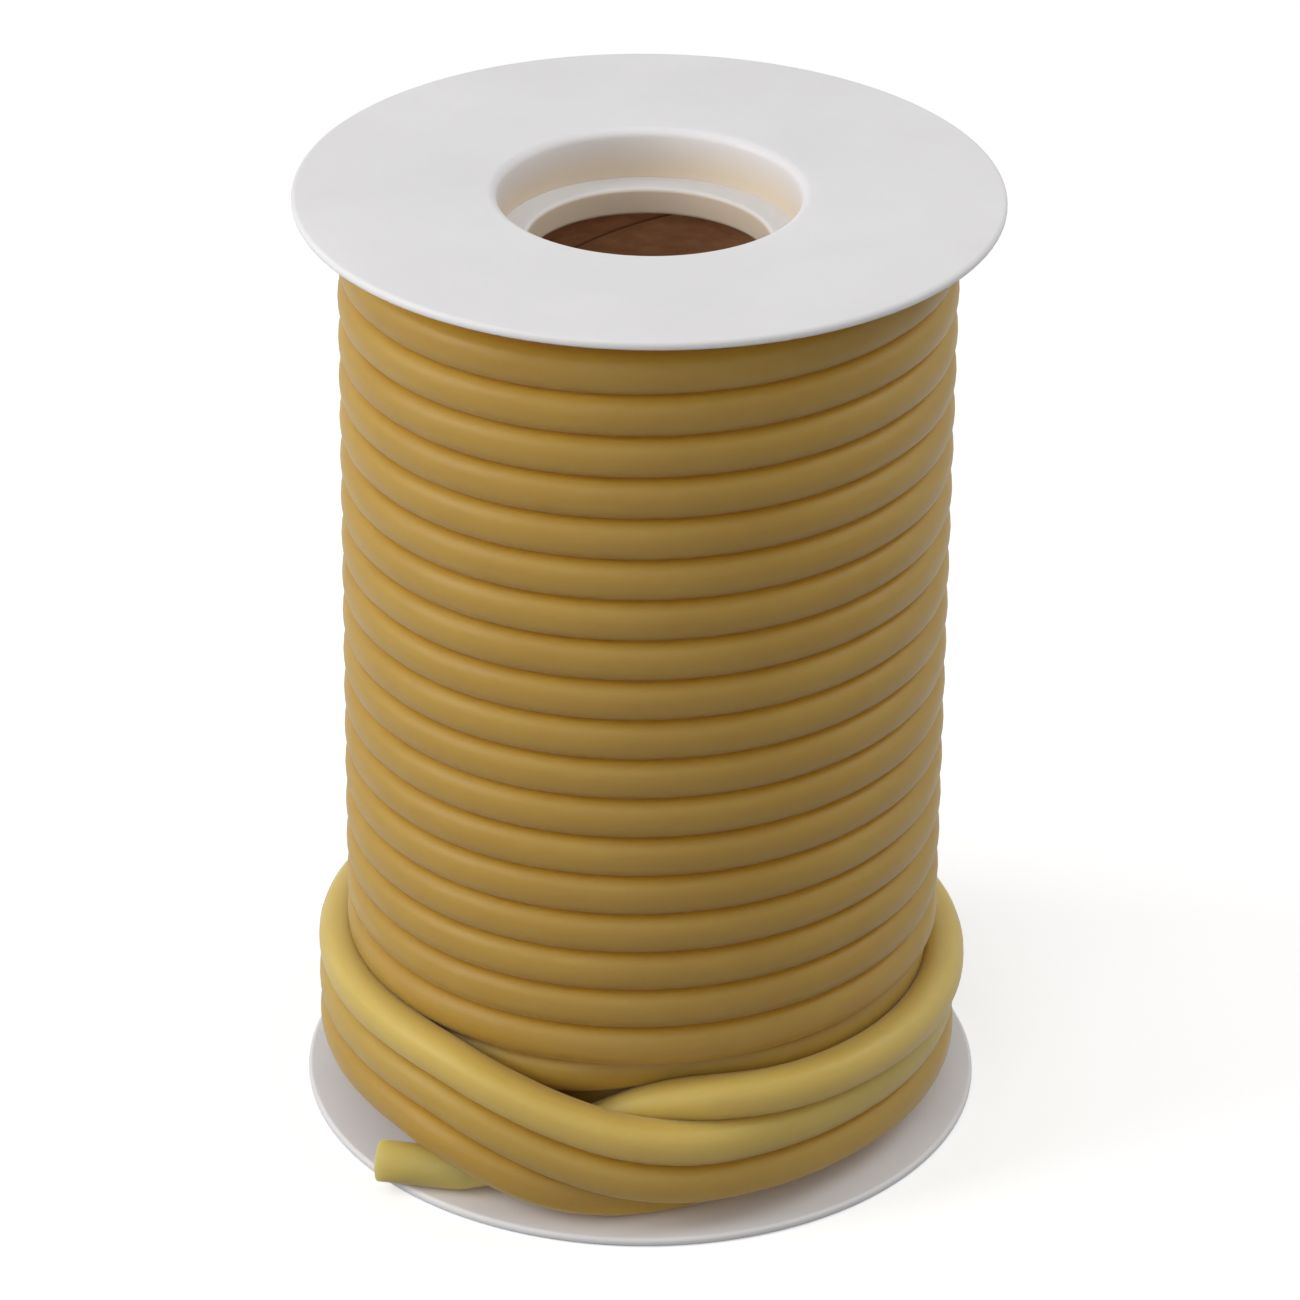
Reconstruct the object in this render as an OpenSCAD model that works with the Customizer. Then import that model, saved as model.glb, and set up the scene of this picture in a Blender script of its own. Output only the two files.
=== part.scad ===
// Reel of amber rubber tubing: a card core with a moulded flange pressed into each end,
// and soft tubing wound on it in layers. The last turns cross over at the front, and the
// free end is tucked under them and comes out along the lower flange.
// Millimetres, +Z up. The reel stands on its lower flange, with its axis on Z.
// The front is -Y. Angles on the winding are taken from the front towards +X.

/* [Reel] */
// Height of the reel over both flanges
reel_h = 147.8; // [142:0.1:156]
// Diameter of a flange
flange_d = 103; // [102:0.5:120]
// Thickness of a flange
flange_t = 1.4; // [1.2:0.1:2.5]
// Rounding of a flange's rim
rim_round = 0.6; // [0.2:0.05:0.6]

/* [Hub] */
// Diameter of the recess in a flange's outer face
recess_d = 44; // [40:0.5:46]
// Wall of the hub around the recess
hub_wall = 2.5; // [1.5:0.1:3]
// Depth of the recess down to its ledge
recess_depth = 7.6; // [4:0.1:12]
// Rounding of the recess's lip
lip_round = 1.3; // [0.3:0.1:1.5]
// Diameter of the spindle bore through the collar
bore_d = 35.5; // [30:0.1:37]
// Length of the collar below the ledge
collar_len = 4.2; // [3:0.1:10]
// Wall of the collar and of the ledge
collar_wall = 2; // [1.2:0.1:3]
// Rounding of the collar's edges
collar_round = 0.6; // [0.2:0.1:0.9]

/* [Core] */
// Wall of the card core
core_wall = 3.1; // [1.5:0.1:3.5]
// Clearance between a hub and the core, each side
hub_fit = 0.1; // [0.05:0.05:0.3]
// Clearance between the core's ends and the flanges
core_end_gap = 0.1; // [0.05:0.05:0.3]

/* [Tubing] */
// Outside diameter of the tubing
tube_d = 6.35; // [5.8:0.05:6.4]
// Bore of the tubing
tube_bore = 3.2; // [2:0.1:4]
// Length of the open bore at the free end
bore_len = 10; // [5:0.5:11]
// Gap between neighbouring turns
turn_gap = 0.07; // [0.05:0.01:0.2]
// Rise of a turn across the front, from left to right
front_rise = 2; // [0:0.2:4]
// Clearance between the tubing and what it lies on
lay_gap = 0.1; // [0.05:0.05:0.3]

/* [Hidden] */
$fn = 96;

flange_r = flange_d / 2;
recess_r = recess_d / 2;
bore_r = bore_d / 2;
hub_r = recess_r + hub_wall;
core_r = hub_r + hub_fit + core_wall;
ledge_z = recess_depth + collar_wall;
collar_z = recess_depth + collar_len;
hub_lead = 0.8;
arc_steps = 6;

tube_r = tube_d / 2;
pitch = tube_d + turn_gap;
function rounded(x) = round(x * 100) / 100;
// Soft turns bed into the turns below them
layer_step = 0.86 * tube_d;
outer_step = 0.7 * tube_d;
hidden_layers = 2;
wound_r = core_r + lay_gap + hidden_layers * layer_step + tube_r;
outer_r = wound_r + outer_step;
seat_z = flange_t + lay_gap + tube_r;
roof_z = reel_h - flange_t - lay_gap - tube_r;

// Turns' worth of height under the lowest whole turn, its height, and how many whole turns fit above it
turns_under = 3.93;
first_turn_z = rounded(seat_z + turns_under * pitch);
turns = floor((roof_z - first_turn_z - front_rise / 2 - layer_step / 4) / pitch) + 1;
last_turn_z = first_turn_z + (turns - 1) * pitch;

// Stations of the last turns: angle, tube diameters out from the outer turns, turns above the seat.
// The wound layer dives under the outer turns, goes round twice there and comes out on the flange.
dive_depth = 1.76;
dive = [
  [-90, -outer_step / tube_d, (first_turn_z - front_rise / 2 - seat_z) / pitch],
  [-150, -0.78, 3.52], [-210, -0.87, 3.25], [-270, -0.94, 3.11], [-304, -0.94, 3.07], [-332, -0.98, 3.03],
  [-346, -1.18, 3.03], [-353, -1.3, 3.03], [-361, -1.26, 2.99], [-375, -0.96, 2.91], [-390, -0.84, 2.87],
  [-402, -0.88, 2.85], [-420, -1.06, 2.8], [-450, -1.45, 2.72], [-480, -dive_depth, 2.64],
  [-750, -dive_depth, 1.91], [-1020, -dive_depth, 1.15], [-1290, -dive_depth, 0.4], [-1350, -1.66, 0.1],
  [-1390, -1.36, 0],
  [-1410, -1.12, 0], [-1423, -0.9, 0], [-1436, -0.55, 0.01], [-1446, -0.2, 0.09], [-1454, 0.08, 0.27],
  [-1462, 0.25, 0.54], [-1470, 0.3, 0.83], [-1478, 0.26, 1.02], [-1488, 0.1, 1.08], [-1505, 0, 1.07],
  [-1540, 0, 1.02], [-1590, 0, 0.9], [-1650, 0, 0.76]
];
// One outer turn. Each one repeats the one before it a turn higher, with its crossing further right.
outer_turns = 3;
first_crossing = -1440;
crossing_shift = 2;
turn_shape = [
  [75, -0.24, -0.36], [45, -0.2, -0.38], [24, -0.02, -0.38], [10, 0.2, -0.3], [-2, 0.3, -0.06],
  [-14, 0.3, 0.34], [-26, 0.3, 0.79], [-38, 0.18, 1.06], [-55, 0.03, 1.08], [-90, 0, 1.04],
  [-150, 0, 0.9], [-210, 0, 0.76]
];
// The last turn dives under the crossings and comes out on the flange as the tail.
tuck = [
  [75, 0, 2.64], [45, 0, 2.63], [26, -0.04, 2.63], [14, -0.27, 2.58], [7, -0.53, 2.4], [1, -0.7, 2.14],
  [-5, -0.75, 1.8], [-11, -0.77, 1.41], [-17, -0.79, 1], [-22, -0.79, 0.65], [-26, -0.71, 0.38],
  [-29.5, -0.54, 0.17], [-32.5, -0.29, 0.05], [-35.5, 0.04, 0]
];
// Straight end of the tail: its length and its heading in plan
tail_len = 12.2;
tail_heading = 170;
rings_per_turn = 36;
sides = 8;
// Where two stretches of tubing join, one reaches this far into the other and is thinner by this much
joint_len = 1;
joint_step = 0.03;
joint_lead = joint_len / 5;
joint_r = 0.9 * tube_r;

function turn_stations(n) = [
  for (s = turn_shape) [s[0] - 360 * n + crossing_shift * (n + 1 - outer_turns), s[1], s[2] + n]
];
stations = concat(
  dive,
  [for (n = [1:outer_turns - 1]) each [for (s = turn_stations(n)) [s[0] + first_crossing, s[1], s[2]]]],
  [for (s = tuck) [s[0] + first_crossing - 360 * outer_turns, s[1], s[2]]]
);
last_station = len(stations) - 1;

// Smooth curve through the stations: the slope of column k at station i, and its value past that station
function slope(i, k) =
  let (a = max(i - 1, 0), b = min(i + 1, last_station))
  (stations[b][k] - stations[a][k]) / (stations[b][0] - stations[a][0]);
function between(i, t, k) =
  let (h = stations[i + 1][0] - stations[i][0])
  (2 * t ^ 3 - 3 * t ^ 2 + 1) * stations[i][k] + (t ^ 3 - 2 * t ^ 2 + t) * h * slope(i, k)
  + (3 * t ^ 2 - 2 * t ^ 3) * stations[i + 1][k] + (t ^ 3 - t ^ 2) * h * slope(i + 1, k);
function on_reel(angle, r, z) = [r * sin(angle), -r * cos(angle), z];
function route(i, t) = on_reel(
  stations[i][0] + t * (stations[i + 1][0] - stations[i][0]),
  outer_r + between(i, t, 1) * tube_d,
  seat_z + between(i, t, 2) * pitch
);
function steps(i) = max(1, ceil((stations[i][0] - stations[i + 1][0]) * rings_per_turn / 360));
path = [
  for (i = [0:last_station - 1])
    for (j = [0:steps(i) - 1]) route(i, j / steps(i))
];
tail_start = route(last_station - 1, 1);
tail_dir = [cos(tail_heading), sin(tail_heading), 0];

// Rings of the swept stretch: each has a centre, a heading and a radius
function unit(v) = v / norm(v);
function ring(centre, heading, r) =
  let (side = unit(cross(heading, [0, 0, 1])), up = cross(side, heading))
  [for (j = [0.5:sides - 0.5]) centre + r * (cos(360 * j / sides) * side + sin(360 * j / sides) * up)];
function next_point(i) = i + 1 < len(path) ? path[i + 1] : tail_start;
function swept_rings() = concat(
  [ring(path[0] - [0, joint_len, 0], [0, 1, 0], joint_r)],
  [ring(path[0] + [0, joint_lead, 0], [0, 1, 0], tube_r)],
  [for (i = [1:len(path) - 1]) ring(path[i], unit(next_point(i) - path[i - 1]), tube_r)],
  [ring(tail_start - joint_lead * tail_dir, tail_dir, tube_r)],
  [ring(tail_start + joint_len * tail_dir, tail_dir, joint_r)]
);

// Quarter round in a turned profile
function quarter(x, z, r, from) =
  [for (i = [0:arc_steps]) [x + r * cos(from + 90 * i / arc_steps), z + r * sin(from + 90 * i / arc_steps)]];

// A flange and its hub, one moulding, with its outer face on z = 0
module flange() {
  rim = min(rim_round, 0.45 * flange_t);
  collar_r = bore_r + collar_wall;
  rotate_extrude()
    polygon(concat(
      quarter(flange_r - rim, rim, rim, -90),
      quarter(flange_r - rim, flange_t - rim, rim, 0),
      [[hub_r, flange_t], [hub_r, ledge_z - hub_lead], [hub_r - hub_lead, ledge_z], [collar_r, ledge_z]],
      quarter(collar_r - collar_round, collar_z - collar_round, collar_round, 0),
      quarter(bore_r + collar_round, collar_z - collar_round, collar_round, 90),
      quarter(bore_r + collar_round, recess_depth + collar_round, collar_round, 180),
      [[recess_r, recess_depth]],
      quarter(recess_r + lip_round, lip_round, lip_round, 180)
    ));
}

module bottom_flange() {
  color("whitesmoke") flange();
}

module top_flange() {
  color("whitesmoke") translate([0, 0, reel_h]) mirror([0, 0, 1]) flange();
}

module core_tube() {
  z = flange_t + core_end_gap;
  color("sienna")
    rotate_extrude()
      translate([core_r - core_wall, z]) square([core_wall, reel_h - 2 * z]);
}

// Half a turn as half a ring. Its ends lie square on the plane y = 0, at the given radii and heights,
// so that one half ring runs into the next. The back half reaches into the front ones.
module half_turn(right, left, back) {
  span = [right[0] + left[0], right[1] - left[1]];
  reach = back ? atan(joint_len / norm(span) * 2) : 0;
  translate([(right[0] - left[0]) / 2, 0, (right[1] + left[1]) / 2])
    rotate([0, -atan2(span[1], span[0]), 0])
      rotate_extrude(angle = 180 + 2 * reach, start = (back ? 0 : 180) - reach)
        translate([norm(span) / 2, 0]) circle(back ? tube_r - joint_step : tube_r);
}

// The layer in sight, down from the top flange
module wound_layer() {
  for (k = [0:turns - 1]) {
    z = first_turn_z + k * pitch;
    half_turn([wound_r, z + front_rise / 2], [wound_r, z - front_rise / 2], back = false);
    if (k > 0) {
      lower = z - pitch + front_rise / 2;
      half_turn([wound_r, lower], [wound_r, z - front_rise / 2], back = true);
    }
  }
}

// The layers under it, and the half turn that climbs out of them at the top
module inner_layers() {
  inner_r = core_r + lay_gap;
  sleeve_r = wound_r - tube_r - lay_gap;
  relief_r = outer_r - dive_depth * tube_d - tube_r - lay_gap;
  relief_z = first_turn_z + tube_r;
  low = flange_t + lay_gap;
  high = reel_h - flange_t - lay_gap;
  rotate_extrude()
    polygon([
      [inner_r, low], [relief_r, low], [relief_r, relief_z],
      [sleeve_r, relief_z], [sleeve_r, high], [inner_r, high]
    ]);
  half_turn([wound_r, last_turn_z + front_rise / 2], [sleeve_r - tube_r - lay_gap, roof_z], back = true);
}

// The outer turns, from the end of the wound layer to the start of the tail
module outer_layer() {
  rings = swept_rings();
  last = len(rings) - 1;
  polyhedron(
    points = [for (r = rings) each r],
    faces = concat(
      [[for (j = [sides - 1:-1:0]) j]],
      [for (i = [0:last - 1], j = [0:sides - 1])
        let (k = (j + 1) % sides) [i * sides + k, (i + 1) * sides + k, (i + 1) * sides + j, i * sides + j]],
      [[for (j = [0:sides - 1]) last * sides + j]]
    )
  );
}

// The straight end of the tail, with its open bore
module tail() {
  translate(tail_start) rotate([0, 90, tail_heading])
    difference() {
      cylinder(h = tail_len, r = tube_r);
      translate([0, 0, tail_len - bore_len]) cylinder(h = bore_len + 1, d = tube_bore);
    }
}

module tubing() {
  color("goldenrod") {
    wound_layer();
    inner_layers();
    outer_layer();
    tail();
  }
}

bottom_flange();
top_flange();
core_tube();
tubing();
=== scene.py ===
# %% [markdown]
# A reel of amber rubber tubing, dressed around its CAD frame.
# The frame brings the two flanges and the card core as they are. The tubing comes in as a plain
# solid, and this lesson makes it again as what it is: one long soft tube, wound on the core.
# Everything is in metres, with +Z up. The reel's front, where the last turns cross, faces -Y.

# %% Load the frame
import math

import bpy
import numpy as np
from mathutils import Matrix, Vector


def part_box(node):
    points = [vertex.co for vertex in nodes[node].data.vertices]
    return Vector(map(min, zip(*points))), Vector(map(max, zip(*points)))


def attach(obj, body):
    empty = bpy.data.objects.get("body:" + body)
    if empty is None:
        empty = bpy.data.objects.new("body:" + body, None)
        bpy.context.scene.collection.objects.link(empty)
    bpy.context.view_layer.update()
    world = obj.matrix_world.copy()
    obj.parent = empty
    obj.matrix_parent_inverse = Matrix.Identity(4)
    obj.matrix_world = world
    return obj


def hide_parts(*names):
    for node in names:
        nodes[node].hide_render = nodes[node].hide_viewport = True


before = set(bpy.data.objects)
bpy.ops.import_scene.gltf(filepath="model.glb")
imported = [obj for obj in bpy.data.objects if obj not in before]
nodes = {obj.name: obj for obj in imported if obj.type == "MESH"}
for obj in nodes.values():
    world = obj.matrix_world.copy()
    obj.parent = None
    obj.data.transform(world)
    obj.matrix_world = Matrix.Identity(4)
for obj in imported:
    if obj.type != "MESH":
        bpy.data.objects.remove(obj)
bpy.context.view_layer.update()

mm = 0.001

# %% [markdown]
# The camera comes first, so that each piece can be judged against the photograph at once.
# The ellipses of the two flanges give its place: a long lens, well above the reel, turned a
# little about its own axis. It could be aimed with a Track To constraint, but a matrix made of
# the three view directions is exact and has nothing left to evaluate.

# %% Camera
picture_px = 1300
focal_px = 5893.5
sensor_mm = 36
far_clip = 20
flange_r = (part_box("top_flange")[1].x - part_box("top_flange")[0].x) / 2
reel_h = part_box("top_flange")[1].z
aim = Vector((0.0155, 0, 1.412)) * flange_r
distance = 17.142 * flange_r
elevation = math.radians(28.22)
roll = math.radians(0.615)

ahead = Vector((0, math.cos(elevation), -math.sin(elevation)))
level = Vector((1, 0, 0))
upright = level.cross(ahead)
right = math.cos(roll) * level + math.sin(roll) * upright
up = math.cos(roll) * upright - math.sin(roll) * level

lens = bpy.data.cameras.new("camera")
lens.sensor_width = sensor_mm
lens.lens = sensor_mm * focal_px / picture_px
lens.clip_end = far_clip
camera = bpy.data.objects.new("camera", lens)
facing = Matrix((right, up, -ahead)).transposed().to_4x4()
camera.matrix_world = Matrix.Translation(aim - distance * ahead) @ facing
bpy.context.scene.collection.objects.link(camera)
bpy.context.scene.camera = camera
print("camera at", [round(x, 3) for x in camera.matrix_world.translation])
print("lens:", round(lens.lens, 1), "mm")

# %% [markdown]
# The tubing is wound in three layers and a few loose outer turns. Its route is one line from the
# inner end, under the top flange, to the free end at the lower left. The sizes below are those of
# the solid, and the route is worked out in turns and tube diameters, as a winder thinks of it.

# %% Sizes of the winding
tube_d = 6.35 * mm
tube_r = tube_d / 2
tube_bore = 3.2 * mm
turn_gap = 0.07 * mm
lay_gap = 0.1 * mm
flange_t = 1.4 * mm
front_rise = 2 * mm
pitch = tube_d + turn_gap
layer_step = 0.86 * tube_d
outer_step = 0.7 * tube_d
core_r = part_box("core_tube")[1].x
first_r = core_r + lay_gap + tube_r
second_r = first_r + layer_step
wound_r = second_r + layer_step
outer_r = wound_r + outer_step
seat_z = flange_t + lay_gap + tube_r
roof_z = reel_h - seat_z
turns_under = 3.93
first_turn_z = round((seat_z + turns_under * pitch) / mm, 2) * mm
turns = 18
print("layers at", [round(r / mm, 2) for r in (first_r, second_r, wound_r, outer_r)], "mm")

# %% [markdown]
# Where the tubing leaves the even turns, its route goes through a few listed stations: an angle
# round the reel, a distance from the axis and a height. A cubic between each two, with the slope
# taken across its neighbours,
# passes through all of them and has no kink.

# %% A smooth line through stations
def through(stations, degrees_per_step):
    """Points [angle, radius, height] on a smooth line through stations of that form."""
    stations = np.array(stations, float)
    slopes = np.zeros_like(stations)
    for i in range(len(stations)):
        before, after = max(i - 1, 0), min(i + 1, len(stations) - 1)
        run = stations[after, 0] - stations[before, 0]
        slopes[i] = (stations[after] - stations[before]) / run
    line = []
    for a, b, slope_a, slope_b in zip(stations[:-1], stations[1:], slopes[:-1], slopes[1:]):
        run = b[0] - a[0]
        count = max(1, math.ceil(abs(run) / degrees_per_step))
        t = np.arange(count)[:, None] / count
        point = ((2 * t**3 - 3 * t**2 + 1) * a + (t**3 - 2 * t**2 + t) * run * slope_a
                 + (3 * t**2 - 2 * t**3) * b + (t**3 - t**2) * run * slope_b)
        point[:, 0] = a[0] + t[:, 0] * run
        line.append(point)
    return np.concatenate(line + [stations[-1:]])


def on_reel(line):
    """Places of points [angle, radius, height]: the angle is from the front, towards +X."""
    angle = np.radians(line[:, 0])
    return np.stack([line[:, 1] * np.sin(angle), -line[:, 1] * np.cos(angle), line[:, 2]], axis=1)


example = through([[0, 1, 0], [90, 1, 1], [180, 1, 0]], 30)
print("three stations, 30 degrees a step:", len(example), "points")

# %% [markdown]
# The layer in sight is not an even helix. A turn rises only a little across the front, from left
# to right, and makes up the rest of its pitch round the back, where nobody looks.

# %% The layer in sight
top_angle = 90 + 360 * (turns - 1)
sight_step = 3


def wound_height(angle):
    """Height of the layer in sight; its lowest whole turn crosses the front at angle 0."""
    turn = np.floor((angle + 90) / 360)
    in_turn = angle - 360 * turn
    front = front_rise / 2 * np.sin(np.radians(in_turn))
    back_middle = pitch / 2
    back = back_middle - (pitch - front_rise) / 2 * np.sin(np.radians(in_turn))
    return first_turn_z + turn * pitch + np.where(in_turn <= 90, front, back)


angles = np.arange(top_angle, -90, -sight_step)
in_sight = np.stack([angles, np.full(len(angles), wound_r), wound_height(angles)], axis=1)
heights = [round(z / mm, 1) for z in in_sight[[0, -1], 2]]
print("turns in sight:", turns, "from", heights[0], "down to", heights[1], "mm")

# %% [markdown]
# Under it lie two more layers. The inner end starts at the top. The first layer comes down, climbs
# over its own last turn, and goes back up as the second layer to the top flange, where it climbs
# out into sight. All of this is hidden, but it is where most of the length is.

# %% The layers under it
hidden_step = 12
station_every = 90
first_turns = 18
second_turns = 17
climb_angle = top_angle + 180
second_start = climb_angle + 360 * second_turns
first_end = second_start + 360
first_start = first_end + 360 * first_turns
second_low = roof_z - second_turns * pitch
first_low = roof_z - first_turns * pitch


def even_layer(start, end, radius, start_z, end_z):
    """Stations of an even helix, often enough that the smooth line keeps to it."""
    count = int(abs(start - end) / station_every)
    angles = np.linspace(start, end, count)
    heights = np.linspace(start_z, end_z, count)
    return [[angle, radius, z] for angle, z in zip(angles, heights)]


over_itself = [
    [first_end - angle, first_r + share * layer_step, first_low + rise * pitch]
    for angle, share, rise in [(50, 0.3, 0.03), (90, 0.75, 0.08), (130, 1, 0.17), (240, 1, 0.52)]
]
climb = [[climb_angle - 90, (second_r + wound_r) / 2, (roof_z + in_sight[0, 2]) / 2]]
first_layer = even_layer(first_start, first_end, first_r, roof_z, first_low)
second_layer = even_layer(second_start, climb_angle, second_r, second_low, roof_z)
hidden = through(
    first_layer + over_itself + second_layer + climb + [list(in_sight[0])], hidden_step
)
print("hidden turns:", round((hidden[0, 0] - hidden[-1, 0]) / 360, 1))

# %% [markdown]
# The last turns are what gives the reel its look. The layer in sight dives under, comes out on
# the flange as the first outer turn, and each outer turn climbs over the one before it in a long
# crossing at the front. The last one is tucked under them all and leaves as the free end.
# Columns: angle, tube diameters out from the outer turns, turns above the seat.

# %% The crossing turns and the tucked end
dive_depth = 1.76
dive = [
    [-90, -outer_step / tube_d, (first_turn_z - front_rise / 2 - seat_z) / pitch],
    [-150, -0.78, 3.52], [-210, -0.87, 3.25], [-270, -0.94, 3.11], [-304, -0.94, 3.07],
    [-332, -0.98, 3.03], [-346, -1.18, 3.03], [-353, -1.3, 3.03], [-361, -1.26, 2.99],
    [-375, -0.96, 2.91], [-390, -0.84, 2.87], [-402, -0.88, 2.85], [-420, -1.06, 2.8],
    [-450, -1.45, 2.72], [-480, -dive_depth, 2.64], [-750, -dive_depth, 1.91],
    [-1020, -dive_depth, 1.15], [-1290, -dive_depth, 0.4], [-1350, -1.66, 0.1], [-1390, -1.36, 0],
    [-1410, -1.12, 0], [-1423, -0.9, 0], [-1436, -0.55, 0.01], [-1446, -0.2, 0.09],
    [-1454, 0.08, 0.27], [-1462, 0.25, 0.54], [-1470, 0.3, 0.83], [-1478, 0.26, 1.02],
    [-1488, 0.1, 1.08], [-1505, 0, 1.07], [-1540, 0, 1.02], [-1590, 0, 0.9], [-1650, 0, 0.76],
]
turn_shape = [
    [75, -0.24, -0.36], [45, -0.2, -0.38], [24, -0.02, -0.38], [10, 0.2, -0.3], [-2, 0.3, -0.06],
    [-14, 0.3, 0.34], [-26, 0.3, 0.79], [-38, 0.18, 1.06], [-55, 0.03, 1.08], [-90, 0, 1.04],
    [-150, 0, 0.9], [-210, 0, 0.76],
]
tuck = [
    [75, 0, 2.64], [45, 0, 2.63], [26, -0.04, 2.63], [14, -0.27, 2.58], [7, -0.53, 2.4],
    [1, -0.7, 2.14], [-5, -0.75, 1.8], [-11, -0.77, 1.41], [-17, -0.79, 1], [-22, -0.79, 0.65],
    [-26, -0.71, 0.38], [-29.5, -0.54, 0.17], [-32.5, -0.29, 0.05], [-35.5, 0.04, 0],
]
outer_turns = 3
first_crossing = -1440
crossing_shift = 2
stations = list(dive)
for n in range(1, outer_turns):
    shift = first_crossing + crossing_shift * (n + 1 - outer_turns) - 360 * n
    stations += [[angle + shift, out, rise + n] for angle, out, rise in turn_shape]
stations += [[angle + first_crossing - 360 * outer_turns, out, rise] for angle, out, rise in tuck]
crossing = through([
    [angle, outer_r + out * tube_d, seat_z + rise * pitch] for angle, out, rise in stations
], sight_step)
print("outer turns:", outer_turns, "in", len(stations), "stations")

# %% [markdown]
# The free end is a short straight stretch that lies on the flange and points to the lower left.
# With it the route is whole, and its length is measured along it.

# %% The free end and the whole route
tail_len = 12.2 * mm
tail_shares = np.linspace(0.15, 1, 6)
tail_heading = math.radians(170)
tail_dir = np.array([math.cos(tail_heading), math.sin(tail_heading), 0])
tail_start = on_reel(crossing[-1:])[0]
tail = tail_start + tail_shares[:, None] * tail_len * tail_dir
route = np.concatenate([on_reel(hidden[:-1]), on_reel(in_sight), on_reel(crossing), tail])
along = np.concatenate([[0], np.cumsum(np.linalg.norm(np.diff(route, axis=0), axis=1))])
print("route:", len(route), "points,", round(along[-1], 2), "m")

# %% [markdown]
# A curve with a round bevel would draw the tube, but it has no wall and no cut end. Sweeping a
# ring of points along the route gives both: the outside runs the whole way, and at each end the
# skin turns in over a softened edge and runs back up the bore. Wound tubing is soft, and where its
# turns press on each other their sides go flat. So the ring is a circle only at the free end, and a
# little squarer where the tube is wound: a power above 2 in the equation of the circle does it.

# %% Sweep the tube
sides = 20
bore_depth = 14 * mm
edge = 0.25 * mm
edge_middle = 0.3 * edge
round_power = 2
pressed_power = 2.6
free_len = 0.04


def sweep(centres, headings, radii, lengths):
    """Rings of points about the centres, as one grid, and the length at each ring."""
    across = np.cross(headings, [0, 0, 1])
    across /= np.linalg.norm(across, axis=1)[:, None]
    over = np.cross(across, headings)
    turn = 2 * np.pi * np.arange(sides) / sides
    spokes = (np.cos(turn)[None, :, None] * across[:, None]
              + np.sin(turn)[None, :, None] * over[:, None])
    pressed = np.clip((lengths[-1] - lengths) / free_len, 0, 1)[:, None]
    power = round_power + (pressed_power - round_power) * pressed
    swell = (np.abs(np.cos(turn)) ** power + np.abs(np.sin(turn)) ** power) ** (-1 / power)
    return centres[:, None] + (radii[:, None] * swell)[:, :, None] * spokes, lengths


def cut_end(centre, heading, length, outward):
    """The rings of a square-cut end, from the outside, over its edge, down its bore."""
    bore_r = tube_bore / 2
    back = np.array([edge, edge_middle, 0, 0, edge_middle, edge, bore_depth])
    radii = np.array([tube_r, tube_r - edge_middle, tube_r - edge,
                      bore_r + edge, bore_r + edge_middle, bore_r, bore_r])
    centres = centre - outward * back[:, None] * heading
    headings = np.repeat(heading[None], len(back), axis=0)
    return centres, headings, radii, length - outward * back


headings = np.gradient(route, axis=0)
headings /= np.linalg.norm(headings, axis=1)[:, None]
start = cut_end(route[0], headings[0], along[0], -1)
finish_end = cut_end(route[-1], tail_dir, along[-1], 1)
middle = (route[1:-1], headings[1:-1], np.full(len(route) - 2, tube_r), along[1:-1])
rings, lengths = sweep(*[
    np.concatenate([first[::-1], body, last])
    for first, body, last in zip(start, middle, finish_end)
])
count = len(rings)
print("tube:", count, "rings of", sides, "points")

# %% [markdown]
# The rings are joined into one closed skin: four-sided faces between each two rings, and a fan over
# the bottom of each bore. All the faces are wound so that they look outwards.

# %% The tube's skin
points = np.concatenate([rings.reshape(-1, 3), rings[0].mean(0)[None], rings[-1].mean(0)[None]])
ring_a = np.arange(count - 1)[:, None] * sides
side = np.arange(sides)[None]
beside = (side + 1) % sides
ring_b = ring_a + sides
quads = np.stack([ring_a + side, ring_b + side, ring_b + beside, ring_a + beside], axis=-1)
quads = quads.reshape(-1, 4)
first_cap = [[(j + 1) % sides, count * sides, j] for j in range(sides)]
last_ring = (count - 1) * sides
last_cap = [[last_ring + j, count * sides + 1, last_ring + (j + 1) % sides] for j in range(sides)]
faces = [list(map(int, quad)) for quad in quads] + first_cap + last_cap

tube_mesh = bpy.data.meshes.new("rubber_tubing")
tube_mesh.from_pydata(points.tolist(), [], faces)
tube_mesh.update()
tube_mesh.polygons.foreach_set("use_smooth", np.ones(len(tube_mesh.polygons), bool))
print("skin:", len(faces), "faces")

# %% [markdown]
# The finish needs to know where it is along the tube and round it. Every point keeps its length from
# the inner end, and its angle round the section as a pair of numbers, so that nothing jumps where
# the circle closes. A UV map could hold them, but it would have a seam.

# %% Where the finish is on the tube
length_of = np.concatenate([np.repeat(lengths, sides), [lengths[0], lengths[-1]]])
turn_of = np.concatenate([np.tile(2 * np.pi * np.arange(sides) / sides, count), [0, 0]])
tube_place = np.stack([length_of, tube_r * np.cos(turn_of), tube_r * np.sin(turn_of)], axis=1)
place = tube_mesh.attributes.new("tube_place", "FLOAT_VECTOR", "POINT")
place.data.foreach_set("vector", tube_place.astype(np.float32).ravel())
tubing = bpy.data.objects.new("rubber_tubing", tube_mesh)
bpy.context.scene.collection.objects.link(tubing)
print("places kept:", len(tube_place))

# %% [markdown]
# Each finish is a node tree. Blender makes a node, sets its sockets and links it in separate calls.
# These helpers do it in one line, so that a finish reads as a recipe: what goes in, and which socket
# it reaches.

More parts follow.
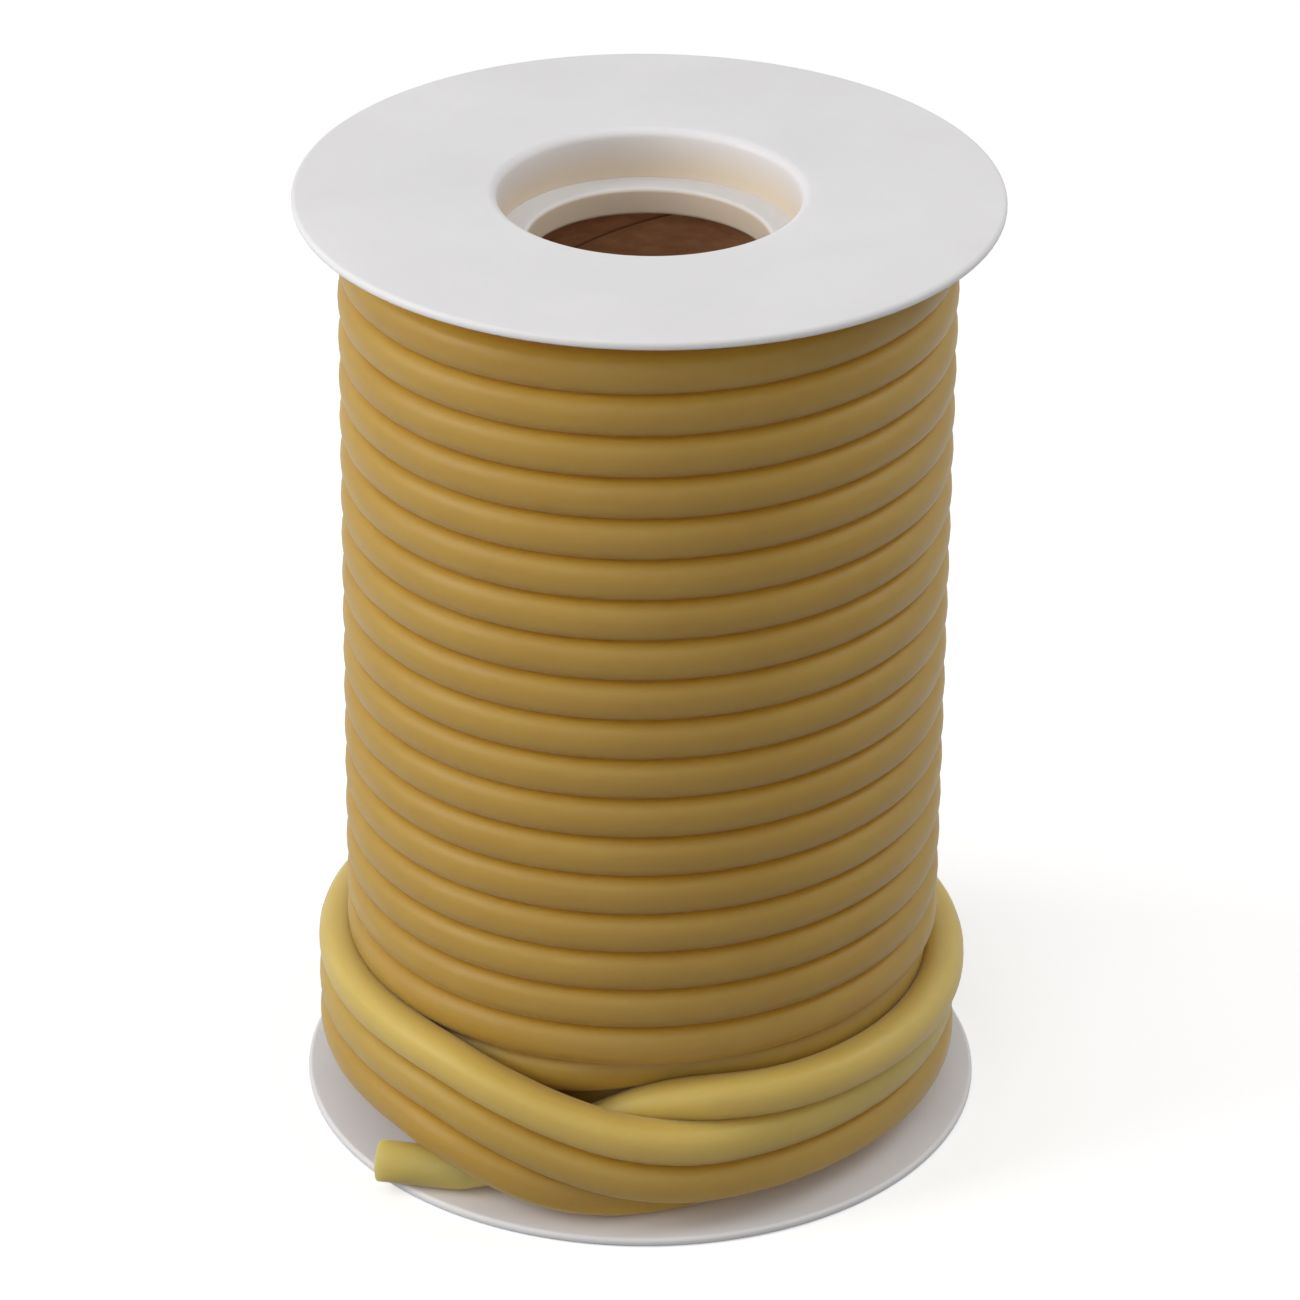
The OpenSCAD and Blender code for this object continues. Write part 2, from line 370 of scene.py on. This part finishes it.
# %% Make and join nodes
def node_maker(tree):
    """A function that makes a node in this tree and fills its sockets with values or links."""
    def node(kind, inputs=None, **settings):
        made = tree.nodes.new("ShaderNode" + kind)
        for key, value in settings.items():
            setattr(made, key, value)
        for key, value in (inputs or {}).items():
            socket = made.inputs[key]
            if isinstance(value, bpy.types.NodeSocket):
                tree.links.new(value, socket)
            else:
                socket.default_value = value
        return made

    return node


def finish_tree(name):
    """A new material, the maker of its nodes, the joiner to its shader, and the shader."""
    material = bpy.data.materials.new(name)
    material.use_nodes = True
    tree = material.node_tree
    shader = tree.nodes["Principled BSDF"]

    def join(output, key):
        tree.links.new(output, shader.inputs[key])

    return material, node_maker(tree), join, shader


def linear(r, g, b):
    """A linear colour from the 8-bit values that a colour picker shows."""
    parts = [c / 255 for c in (r, g, b)]
    return tuple(c / 12.92 if c <= 0.04045 else ((c + 0.055) / 1.055) ** 2.4 for c in parts)


print("a picked grey of 128 is", round(linear(128, 128, 128)[0], 3), "in linear light")

# %% [markdown]
# A recipe has few kinds of step: a ramp of colours, a noise, a change of range, a sum, a blend of two
# colours, fine relief, and a test of how a surface is seen. Node groups could hold them, but the
# export loses some values that reach a shader through a group.

# %% Steps of a recipe
def ramp(node, source, stops):
    """A colour ramp: stops are pairs of a place and a linear colour."""
    made = node("ValToRGB", {"Fac": source})
    elements = made.color_ramp.elements
    while len(elements) < len(stops):
        elements.new(0.5)
    for element, (position, colour) in zip(elements, stops):
        element.position = position
        element.color = (*colour, 1)
    return made.outputs["Color"]


def noise(node, where, scale, detail, roughness=0.5):
    """A noise from 0 to 1 at each place."""
    made = node("TexNoise", {
        "Vector": where, "Scale": scale, "Detail": detail, "Roughness": roughness,
    })
    return made.outputs["Fac"]


def carry(node, value, start, end, low, high, kind="LINEAR"):
    """A value that goes from low to high as another goes from start to end."""
    made = node("MapRange", {
        "Value": value, "From Min": start, "From Max": end, "To Min": low, "To Max": high,
    }, interpolation_type=kind)
    return made.outputs["Result"]


def reckon(node, operation, first, second=0):
    """The result of a sum on one value or two."""
    return node("Math", {0: first, 1: second}, operation=operation).outputs["Value"]


def blend(node, factor, first, second):
    """A colour between two colours."""
    made = node("Mix", {"Factor": factor, "A": first, "B": second}, data_type="RGBA")
    return made.outputs["Result"]


def roughen(node, join, height, strength, distance):
    """Fine relief on the surface."""
    bump = node("Bump", {"Strength": strength, "Distance": distance, "Height": height})
    join(bump.outputs["Normal"], "Normal")


def seen_directly(node):
    """1 for what is seen straight, in a reflection or through glass, and 0 for bounced light."""
    ray = node("LightPath").outputs
    straight = reckon(node, "MAXIMUM", ray["Is Camera Ray"], ray["Is Glossy Ray"])
    return reckon(node, "MAXIMUM", straight, ray["Is Transmission Ray"])


print("recipe steps: ramp, noise, carry, reckon, blend, roughen, seen_directly")

# %% [markdown]
# Natural rubber tubing is amber and lets light in: it glows where the light comes through its wall,
# which subsurface scattering gives. Its skin has faint lines along its length from the dipping, and
# cloudy patches. The flanks of the turns, down in the creases between them, are painted a lighter,
# deeper amber: painted shade colour for the glow of light through the rubber in the creases, so the
# colour goes by the angle round the section. The last turns get a painted highlight along their
# length: they are made paler where they stand out and catch the light. A painted picture could hold
# all this, but it would not follow the tube when its route is changed.

# %% Where the painted highlight comes up
first_loose = len(hidden) - 1 + len(in_sight) + np.argmax(crossing[:, 0] <= first_crossing)
loose_from = float(along[first_loose])
loose_len = float(along[-1]) - loose_from
# Between these two lengths the last turns take a painted highlight: they grow paler, as where they
# stand out and catch the light.
painted_highlight_from = loose_from + 0.15 * loose_len
painted_highlight_to = loose_from + 0.75 * loose_len
# crease_at and crest_at bound the painted shade colour: the flanks in the creases get a lighter,
# deeper amber, fading to the crest colour on the outer face.
crease_at = 0.1 * tube_r
crest_at = -0.95 * tube_r
# The printed lengths are where the painted highlight on the last turns starts and is full.
print("bloom from", round(painted_highlight_from, 2), "to", round(painted_highlight_to, 2), "m along the tube")

# %% Amber rubber
line_stretch = (30, 500, 500)
line_share = 0.35
rubber, node, join, shader = finish_tree("amber_rubber")
here = node("Attribute", attribute_name="tube_place").outputs["Vector"]
stretched = node("Mapping", {"Vector": here, "Scale": line_stretch}).outputs["Vector"]
lines = noise(node, stretched, 1, 3, 0.6)
clouds = noise(node, here, 45, 4, 0.55)
mixed = node("Mix", {"Factor": line_share, "A": clouds, "B": lines}).outputs["Result"]
# Painted shade colour: this amber stands in for the glow of light through the rubber down in the
# creases between turns.
painted_crease_glow = ramp(node, mixed, [(0.3, linear(210, 155, 48)), (0.7, linear(216, 164, 56))])
crest = ramp(node, mixed, [(0.3, linear(174, 135, 46)), (0.7, linear(183, 146, 57))])
# Painted highlight: this pale colour lies on the last turns, where they stand out and catch the
# light.
painted_highlight = ramp(node, mixed, [(0.3, linear(206, 173, 84)), (0.7, linear(213, 184, 100))])
on_tube = node("SeparateXYZ", {"Vector": here}).outputs
painted_crease_fade = carry(node, on_tube["Y"], crease_at, crest_at, 0, 1, "SMOOTHSTEP")
painted_highlight_share = carry(node, on_tube["X"], painted_highlight_from, painted_highlight_to, 0, 1, "SMOOTHSTEP")
join(blend(node, painted_highlight_share, blend(node, painted_crease_fade, painted_crease_glow, crest), painted_highlight), "Base Color")
bloom = noise(node, here, 160, 5, 0.65)
join(carry(node, bloom, 0, 1, 0.4, 0.56), "Roughness")
roughen(node, join, noise(node, stretched, 2.2, 4), 0.12, 0.05 * mm)
shader.inputs["Subsurface Weight"].default_value = 1
shader.inputs["Subsurface Radius"].default_value = (1, 0.9, 0.7)
shader.inputs["Subsurface Scale"].default_value = 12 * mm
shader.inputs["Specular IOR Level"].default_value = 0.32
shader.inputs["IOR"].default_value = 1.5
shader.inputs["Sheen Weight"].default_value = 0.1
shader.inputs["Sheen Roughness"].default_value = 0.45
tube_mesh.materials.append(rubber)
print("finish:", rubber.name, len(rubber.node_tree.nodes), "nodes")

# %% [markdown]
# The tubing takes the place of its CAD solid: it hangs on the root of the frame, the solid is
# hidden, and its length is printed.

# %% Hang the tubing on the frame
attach(tubing, "root")
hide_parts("tubing")
print("tubing declared:", round(along[-1], 2), "m")

# %% [markdown]
# The flanges are white moulded plastic, matte, a little cool on their faces. They keep their CAD
# shape. A fine grain breaks the shine, and a slow mottle keeps the white from being flat. The walls
# of the hub get a painted warm shade: a darker, browner white that stands in for the shade in the
# recess and the warm light that reaches it from the brown core. It grows with the depth below the
# outer face, and only on walls, where the surface doesn't face up or down.

# %% White moulded plastic
# Painted shade: a warmer, darker white on the hub's walls, for the shade in the recess and the warm
# light from the brown core.
painted_recess_shade = linear(220, 205, 184)
recess_shade_from = 0.5 * mm
recess_shade_to = 6 * mm
wall_tilt = 0.2
face_tilt = 0.9
plastic, node, join, shader = finish_tree("white_moulded_plastic")
here = node("TexCoord").outputs["Object"]
mottle = noise(node, here, 38, 4)
white = ramp(node, mottle, [(0.3, linear(229, 227, 228)), (0.7, linear(237, 235, 236))])
height = node("SeparateXYZ", {"Vector": here}).outputs["Z"]
depth = reckon(node, "MINIMUM", height, reckon(node, "SUBTRACT", reel_h, height))
recess_shade_depth = carry(node, depth, recess_shade_from, recess_shade_to, 0, 1)
normal = node("NewGeometry").outputs["Normal"]
upward = node("SeparateXYZ", {"Vector": normal}).outputs["Z"]
wall = carry(node, reckon(node, "ABSOLUTE", upward), wall_tilt, face_tilt, 1, 0)
recess_shade_share = reckon(node, "MULTIPLY", recess_shade_depth, wall)
join(blend(node, recess_shade_share, white, (*painted_recess_shade, 1)), "Base Color")
scuffs = noise(node, here, 120, 6, 0.7)
join(carry(node, scuffs, 0, 1, 0.44, 0.6), "Roughness")
roughen(node, join, noise(node, here, 2600, 2), 0.1, 0.03 * mm)
shader.inputs["Subsurface Weight"].default_value = 0.3
shader.inputs["Subsurface Radius"].default_value = (1, 0.9, 0.8)
shader.inputs["Subsurface Scale"].default_value = 2 * mm
shader.inputs["Specular IOR Level"].default_value = 0.4
print("finish:", plastic.name, len(plastic.node_tree.nodes), "nodes")

# %% [markdown]
# The core is card, rolled from a strip in a spiral: brown, fibrous, with the seam of the strip
# running round it. The seam is a fine dark line where height and angle agree.

# %% Brown card
strip_w = 48 * mm
seam_share = 0.012
seam_brown = linear(96, 62, 40)
fibre_stretch = (260, 260, 900)
card, node, join, shader = finish_tree("brown_card")
here = node("TexCoord").outputs["Object"]
parts = node("SeparateXYZ", {"Vector": here}).outputs
angle = reckon(node, "ARCTAN2", parts["Y"], parts["X"])
turn_share = reckon(node, "MULTIPLY", angle, 1 / (2 * math.pi))
rise_share = reckon(node, "MULTIPLY", parts["Z"], 1 / strip_w)
on_strip = reckon(node, "FRACT", reckon(node, "ADD", turn_share, rise_share))
seam = carry(node, on_strip, 0, seam_share, 1, 0)
fibre_place = node("Mapping", {"Vector": here, "Scale": fibre_stretch}).outputs["Vector"]
fibres = noise(node, fibre_place, 1, 5, 0.65)
paper = ramp(node, fibres, [(0.3, linear(178, 126, 88)), (0.7, linear(206, 156, 114))])
join(blend(node, seam, paper, (*seam_brown, 1)), "Base Color")
join(carry(node, fibres, 0, 1, 0.75, 0.95), "Roughness")
roughen(node, join, fibres, 0.3, 0.1 * mm)
print("finish:", card.name, len(card.node_tree.nodes), "nodes")

# %% [markdown]
# The flanges and the core keep their CAD meshes, so they only take their finishes.

# %% Put the finishes on
for name, material in [("top_flange", plastic), ("bottom_flange", plastic), ("core_tube", card)]:
    mesh = nodes[name].data
    mesh.materials.clear()
    mesh.materials.append(material)
    print("finish:", name, material.name)

# %% [markdown]
# The reel stands on a plain pale floor that runs far behind it. To the camera the floor is white and
# shines a little, so that it meets the white sky without a line and still keeps the reel's shadow.
# To the light that bounces it is grey, so that it does not fill the shade under the turns.

# %% Floor
floor_size = 6
bounce_grey = 0.15
seen_white = 0.9
seen_glow = 0.4
half = floor_size / 2
corners = [(-half, -half, 0), (half, -half, 0), (half, half, 0), (-half, half, 0)]
floor_mesh = bpy.data.meshes.new("floor")
floor_mesh.from_pydata(corners, [], [(0, 1, 2, 3)])
floor = bpy.data.objects.new("floor", floor_mesh)
bpy.context.scene.collection.objects.link(floor)
paper_floor, node, join, shader = finish_tree("pale_floor")
seen = seen_directly(node)
shade = blend(node, seen, (*[bounce_grey] * 3, 1), (*[seen_white] * 3, 1))
join(shade, "Base Color")
join(reckon(node, "MULTIPLY", seen, seen_glow), "Emission Strength")
shader.inputs["Emission Color"].default_value = (1, 1, 1, 1)
shader.inputs["Roughness"].default_value = 0.9
shader.inputs["Specular IOR Level"].default_value = 0.1
floor_mesh.materials.append(paper_floor)
print("floor:", floor_size, "m wide")

# %% [markdown]
# The light is that of a plain studio: a pale sky all round does most of it, so that the creases stay
# soft. The strongest lamp stands on the left, where the photograph is brightest. A low one in front
# reaches the turns under the top flange, and two more fill the front and the right.

# %% Light
def soft_lamp(name, place, size, power):
    """A square lamp that faces the middle of the reel."""
    light = bpy.data.lights.new(name, "AREA")
    light.size = size
    light.energy = power
    lamp = bpy.data.objects.new(name, light)
    lamp.location = place
    towards_reel = Vector((0, 0, reel_h / 2)) - Vector(place)
    lamp.rotation_euler = towards_reel.to_track_quat("-Z", "Y").to_euler()
    bpy.context.scene.collection.objects.link(lamp)
    print("lamp:", name, power, "W")


soft_lamp("key", (-0.25, -0.75, 0.5), 0.5, 1.15)
soft_lamp("left", (-0.65, -0.15, 0.42), 0.4, 2.8)
soft_lamp("right", (0.5, 0.1, 0.55), 0.35, 1.1)
soft_lamp("front", (-0.2, -1.1, 0.15), 0.6, 0.6)

# %% [markdown]
# The sky lights the reel at less than half strength. The camera sees it white, as the photograph has
# it, and so do the reflections on the reel.

# %% Sky
sky_light = 0.45
sky_seen = 1
world = bpy.data.worlds.new("studio")
bpy.context.scene.world = world
world.use_nodes = True
sky = world.node_tree
background = sky.nodes["Background"]
node = node_maker(sky)
strength = carry(node, seen_directly(node), 0, 1, sky_light, sky_seen)
sky.links.new(strength, background.inputs["Strength"])
background.inputs["Color"].default_value = (1, 1, 1, 1)
bpy.context.scene.view_settings.view_transform = "Standard"
print("sky:", sky_light, "to the reel,", sky_seen, "to the camera")
